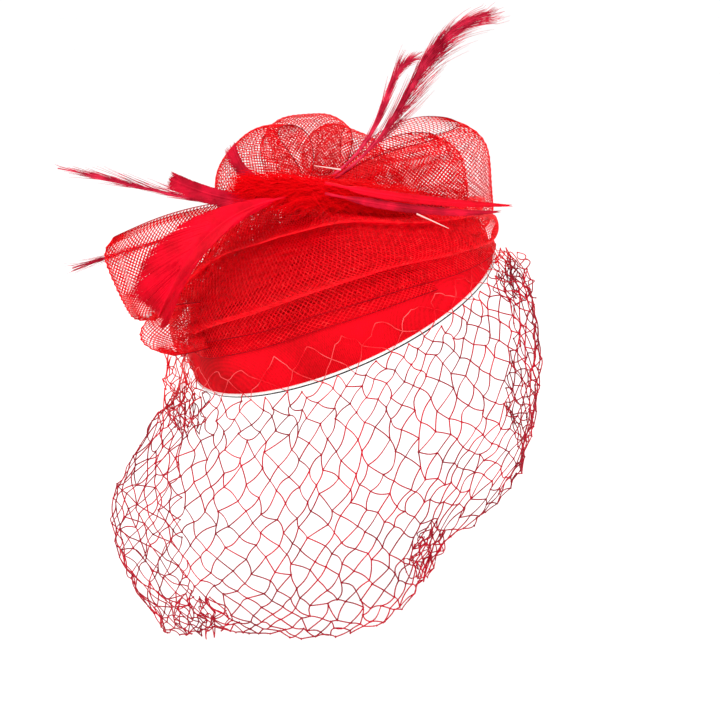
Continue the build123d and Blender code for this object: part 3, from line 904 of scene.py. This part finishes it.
plume(
    "tall_plume", [(-4, -22, 66), (36, -19, 92), (31, -15, 135), (68, -12, 141)], (0.7, 0.3),
    (
        (0.08, 0.5, 0, 130, 4.5, 2.5, 24, 0.16),
        (0.42, 0.84, 0, 190, 7.0, 4.0, 20, 0.17),
        (0.5, 0.9, 1, 60, 12.0, 3.0, 19, 0.15),
        (0.12, 0.66, 1, 95, 17.0, 4.5, 24, 0.13),
        (0.66, 0.72, -1, 6, 20.0, 3.0, 10, 0.12),
        (0.84, 0.95, 0, 30, 6.0, 4.0, 13, 0.15),
    ),
    16,
)
plume(
    "short_plume", [(-5, -29, 68), (26, -27, 90), (16, -26, 120), (36, -24, 121)], (0.7, 0.3),
    (
        (0.1, 0.6, 0, 130, 4.0, 2.0, 18, 0.16),
        (0.6, 0.85, 0, 120, 5.0, 3.0, 10, 0.17),
        (0.62, 0.85, 1, 40, 14.0, 5.0, 8, 0.14),
        (0.2, 0.6, -1, 14, 5.0, 2.0, 20, 0.12),
    ),
    17,
)
feather(
    "right_quill_upper", [(-8, -55, 67), (20, -60, 61), (48, -60, 58), (73, -56, 57)],
    2.6, feather_red, vane_profile(0.2, 0.35, 0.6), 18,
    shaft=(0.7, 0.25), angle=12, wild=0.12,
)
feather(
    "right_quill_lower", [(-8, -53, 62), (18, -58, 57), (44, -59, 53), (68, -55, 54)],
    2.6, feather_crimson, vane_profile(0.2, 0.35, 0.6), 19,
    shaft=(0.7, 0.25), angle=12, wild=0.12,
)


# Bare pale ends of two quills that stick out of the fluff
def pale_quill(name, start, end):
    strands = Strands()
    line = np.array(start) + np.outer(np.linspace(0, 1, 8), np.array(end) - np.array(start))
    strands.tubes(line[None], 0.42, 6, np.linspace(1.0, 0.3, 8))
    finish_piece(strands.build(name, quill_pale), [])


pale_quill("pale_quill_right", (33, -59, 53.5), (47.5, -60, 47))
pale_quill("pale_quill_left", (-1, -50, 72.5), (-13, -52, 74.5))


# ---------------------------------------------------------------- marabou fluff
# Soft fibres along a short spine across the centre, leaning out to either side
def marabou():
    local = np.random.default_rng(21)
    strands = Strands()
    count = 6000
    spine = local.uniform(-1, 1, count)
    base = np.stack(
        [
            -9 + 33 * spine,
            -42 + local.normal(0, 2.0, count),
            62 - 2.5 * spine + local.normal(0, 2.2, count) * (1 - 0.6 * np.abs(spine)),
        ],
        axis=1,
    )
    turn = local.uniform(0, 2 * np.pi, count)
    lean = np.sign(spine + local.normal(0, 0.5, count)) * local.uniform(0.8, 2.6, count)
    forward = -0.6 * np.abs(np.cos(turn)) - 0.1
    upward = 0.8 * np.sin(turn) - 0.12 - 0.1 * lean
    way = np.stack([lean, forward, upward], axis=1)
    way /= np.linalg.norm(way, axis=1, keepdims=True)
    size = local.uniform(8, 20, count) * (1 - 0.3 * np.abs(spine))
    steps = 7
    t = np.linspace(0, 1, steps)
    points = base[:, None, :] + way[:, None, :] * (size[:, None] * t[None, :])[..., None]
    kink = local.normal(0, 1, (count, 3))
    points += kink[:, None, :] * (np.sin(np.pi * t)[None, :, None] * 1.4)
    points[..., 2] -= 2.0 * (t[None, :] ** 2)
    strands.tubes(points, 0.14, 3, np.array([1.0, 1.0, 0.9, 0.8, 0.7, 0.5, 0.25]))
    obj = strands.build("marabou_fibres", fluff_red)
    finish_piece(obj, ["marabou_fluff"])


marabou()

# ---------------------------------------------------------------- veil
# The net's shape: one row of points down from its top edge on the cover, past the rim, to its
# free edge, for each of 11 lines from the left back round the front to the right back.
# VEIL_TOP: angle and height of the top edge on the cover, then the radius where it passes the rim
VEIL_TOP = (
    (184, 17, 83), (191, 18, 88), (203, 15, 87), (224, 15, 80.6), (248, 17, 80.2), (270, 17, 80.2),
    (292, 15, 80.2), (312, 13, 80.2), (330, 12, 81), (344, 12, 85), (353, 12, 84),
)
# VEIL_HANG: the points below the rim
VEIL_HANG = (
    ((-76, 0, -46), (-80, 0, -80), (-78, -4, -110), (-72, -26, -134)),
    ((-89, -24, -47), (-107, -26, -80), (-107, -30, -110), (-85, -44, -144)),
    ((-78, -52, -50), (-90, -60, -80), (-88, -68, -110), (-70, -78, -136)),
    ((-56, -84, -52), (-64, -94, -80), (-62, -100, -107), (-50, -100, -128)),
    ((-28, -96, -46), (-32, -107, -76), (-30, -112, -104), (-26, -109, -127)),
    ((0, -100, -36), (-2, -110, -68), (-1, -113, -97), (0, -109, -127)),
    ((28, -96, -23), (30, -106, -54), (28, -108, -84), (25, -104, -118)),
    ((54, -82, -10), (58, -90, -38), (54, -92, -62), (44, -90, -92)),
    ((76, -54, 2), (82, -61, -26), (80, -63, -50), (70, -65, -78)),
    ((88, -26, 10), (91, -32, -18), (89, -34, -40), (83, -38, -64)),
    ((78, 2, 12), (82, 4, -10), (80, 2, -28), (78, -4, -46)),
)
VEIL_GRID = []
for (angle, height, rim_radius), hang in zip(VEIL_TOP, VEIL_HANG):
    share = max(1 - (height / (COVER_HEIGHT + 1)) ** DOME_POWER, 0) ** (1 / DOME_POWER)
    top = seat_point(angle, (COVER_RADIUS + 1.0) * share, height)
    rim = seat_point(angle, rim_radius, 0.0)
    VEIL_GRID.append([top, rim] + [np.array(p, float) for p in hang])
VEIL_GRID = np.array(VEIL_GRID)


# Points of the net's smooth surface: s runs from its left end to its right, w from top to bottom
def veil_surface(s, w):
    columns = catmull(VEIL_GRID, s)
    last = columns.shape[1] - 1
    i, t = station_at(w, last)
    k = np.arange(len(s))
    before = columns[k, np.maximum(i - 1, 0)]
    after = columns[k, np.minimum(i + 2, last)]
    return between(before, columns[k, i], columns[k, i + 1], after, t[:, None])


VEIL_COLS = 34
VEIL_ROWS = 28
NET_RADIUS = 0.3
NET_ON_COVER_RADIUS = 0.17
NET_CLEARANCE = 1.2


# The knots that a knot is tied to in the row below: straight on, and half a cell aside
def neighbours(i, j, cols):
    return [other for other in (i, i + (1 if j % 2 else -1)) if 0 <= other <= cols]


# A strand between two knots, with a little sideways bow
def net_strand(a, b, bow, t):
    return a + np.outer(t, b - a) + np.outer(np.sin(np.pi * t), bow)


def veil():
    local = np.random.default_rng(31)
    strands = Strands()
    cols, rows = VEIL_COLS, VEIL_ROWS
    place_s = np.zeros((rows + 1, cols + 1))
    place_w = np.zeros((rows + 1, cols + 1))
    for j in range(rows + 1):
        # rows crowd together towards the free edge, where the net is pulled sideways
        drop = j / rows
        for i in range(cols + 1):
            place_s[j, i] = (i + 0.5 * (j % 2)) / (cols + 0.5)
            place_w[j, i] = 0.02 + 0.98 * (1 - (1 - drop) ** 1.3)
    jitter = 0.12
    place_s += local.normal(0, jitter / cols, place_s.shape)
    place_w += local.normal(0, jitter / rows, place_w.shape)
    place_s = np.clip(place_s, 0, 1)
    place_w = np.clip(place_w, 0, 1)
    knots = veil_surface(place_s.reshape(-1), place_w.reshape(-1)).reshape(rows + 1, cols + 1, 3)
    knots += local.normal(0, 0.7, knots.shape)
    knots = rest_on_cover(knots.reshape(-1, 3), NET_CLEARANCE).reshape(knots.shape)
    lines = []
    diagonals = []
    t = np.linspace(0, 1, 6)
    for j in range(rows):
        for i in range(cols + 1):
            for other in neighbours(i, j, cols):
                a, b = knots[j, i], knots[j + 1, other]
                bow = local.normal(0, 0.06, 3) * np.linalg.norm(b - a)
                lines.append(net_strand(a, b, bow, t))
                start = i + 0.5 * (j % 2)
                way = other + 0.5 * ((j + 1) % 2) - start
                diagonals.append(round(start - way * j))
    lines = np.array(lines)
    # where it lies on the cover the net is spread wide: only every other diagonal crosses it
    on_cover = (lines @ seat_n).mean(axis=1) > 1
    kept = ~on_cover | (np.array(diagonals) % 2 == 0)
    lines = lines[kept]
    on_cover = on_cover[kept]
    strands.tubes(lines, np.where(on_cover, NET_ON_COVER_RADIUS, NET_RADIUS), 4)
    hanging = knots.reshape(-1, 3)
    strands.lumps(hanging[hanging @ seat_n < 1], 0.62, 5)
    obj = strands.build("veil_net_strands", veil_red)
    finish_piece(obj, ["veil_net"])
    return obj


veil_obj = veil()


# Net drawn together: a small crumpled patch of the same diamonds, down a strip from top to low
def bunch(name, nodes, top, low, width, depth, cols, rows, seed):
    local = np.random.default_rng(seed)
    strands = Strands()
    top = np.array(top, float)
    low = np.array(low, float)
    knots = np.zeros((rows + 1, cols + 1, 3))
    for j in range(rows + 1):
        for i in range(cols + 1):
            share = (i + 0.5 * (j % 2)) / cols - 0.5
            fold = math.sin(9.0 * share + 0.7 * j)
            middle = top + (low - top) * (j / rows)
            waist = 0.7 + 0.5 * math.sin(math.pi * j / rows)
            knots[j, i] = middle + np.array([width * share * waist, depth * fold, 0])
    knots += local.normal(0, 1.3, knots.shape)
    knots = rest_on_cover(knots.reshape(-1, 3), NET_CLEARANCE).reshape(knots.shape)
    t = np.linspace(0, 1, 7)
    lines = []
    for j in range(rows):
        for i in range(cols + 1):
            for other in neighbours(i, j, cols):
                bow = local.normal(0, 1.5, 3)
                lines.append(net_strand(knots[j, i], knots[j + 1, other], bow, t))
    strands.tubes(np.array(lines), 0.27, 4)
    strands.lumps(knots.reshape(-1, 3), 0.5, seed)
    finish_piece(strands.build(name, veil_red), nodes)


# name, CAD nodes, top, low, width, depth, columns, rows, seed
for values in (
    ("veil_gather_left_strands", ["veil_gather_left"], (-79, -18, -16), (-74, -26, -52), 15, 4, 7, 6, 41),
    ("veil_gather_right_strands", ["veil_gather_right"], (74, -28, 33), (82, -28, 10), 15, 4, 6, 5, 42),
    ("veil_bunch_left_strands", [], (-66, -86, -117), (-63, -92, -131), 20, 4, 6, 4, 43),
    ("veil_bunch_right_strands", [], (40, -92, -84), (33, -95, -104), 11, 4, 5, 5, 44),
):
    bunch(*values)


# ---------------------------------------------------------------- floor, light, camera
FLOOR_GAP = 0.02
FLOOR_HALF_SIZE = 30.0
WORLD_STRENGTH = 1.05
CAMERA_TILT = math.radians(10.0)
CAMERA_DISTANCE = 1.0
# Point in the camera's own plane that it is centred on: sideways, and along its up direction
CAMERA_SIDE = 0.0077
CAMERA_RISE = -0.023
# name, place, size, power, the point it is turned to
LAMPS = (
    ("key", (-0.9, -1.3, 1.3), 0.9, 15.0, (0, 0, 0)),
    ("fill", (1.4, -1.1, 0.5), 1.2, 8.0, (0, 0, 0)),
    ("back", (0.3, 1.5, 1.2), 1.0, 4.0, (0, 0, 0.03)),
)


def add_floor():
    z = float(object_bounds()[0][2]) - FLOOR_GAP
    size = FLOOR_HALF_SIZE
    corners = [(-size, -size, z), (size, -size, z), (size, size, z), (-size, size, z)]
    floor_mesh = bpy.data.meshes.new("floor")
    floor_mesh.from_pydata(corners, [], [(0, 1, 2, 3)])
    floor = bpy.data.objects.new("floor", floor_mesh)
    bpy.context.scene.collection.objects.link(floor)
    material, nodes, links, shader = new_material("floor_pale")
    where = nodes.new("ShaderNodeTexCoord")
    noise = add_node(nodes, "ShaderNodeTexNoise", Scale=3.0, Detail=2.0)
    links.new(where.outputs["Object"], noise.inputs["Vector"])
    stops = [(0.3, (0.95, 0.95, 0.95)), (0.7, (0.97, 0.97, 0.97))]
    links.new(ramp(nodes, links, noise.outputs["Fac"], stops), shader.inputs["Base Color"])
    shader.inputs["Roughness"].default_value = 0.9
    floor_mesh.materials.append(material)


def add_lights():
    world = bpy.data.worlds.new("studio")
    bpy.context.scene.world = world
    world.use_nodes = True
    world.node_tree.nodes["Background"].inputs["Color"].default_value = (1, 1, 1, 1)
    world.node_tree.nodes["Background"].inputs["Strength"].default_value = WORLD_STRENGTH
    for name, place, size, power, target in LAMPS:
        lamp = bpy.data.lights.new(name, "AREA")
        lamp.size = size
        lamp.energy = power
        obj = bpy.data.objects.new(name, lamp)
        bpy.context.scene.collection.objects.link(obj)
        obj.location = place
        obj.rotation_euler = (Vector(target) - Vector(place)).to_track_quat("-Z", "Y").to_euler()


def add_camera():
    camera_data = bpy.data.cameras.new("camera")
    camera_data.lens = 104.2
    camera_data.sensor_width = 36.0
    camera_data.clip_start = 0.01
    camera_data.clip_end = 100.0
    camera = bpy.data.objects.new("camera", camera_data)
    bpy.context.scene.collection.objects.link(camera)
    up = Vector((0, math.sin(CAMERA_TILT), math.cos(CAMERA_TILT)))
    back = Vector((0, -math.cos(CAMERA_TILT), math.sin(CAMERA_TILT)))
    camera.location = Vector((CAMERA_SIDE, 0, 0)) + up * CAMERA_RISE + back * CAMERA_DISTANCE
    camera.rotation_euler = (math.radians(90) - CAMERA_TILT, 0, 0)
    bpy.context.scene.camera = camera


add_floor()
add_lights()
add_camera()
bpy.context.scene.view_settings.view_transform = "Standard"
bpy.context.scene.cycles.max_bounces = 8
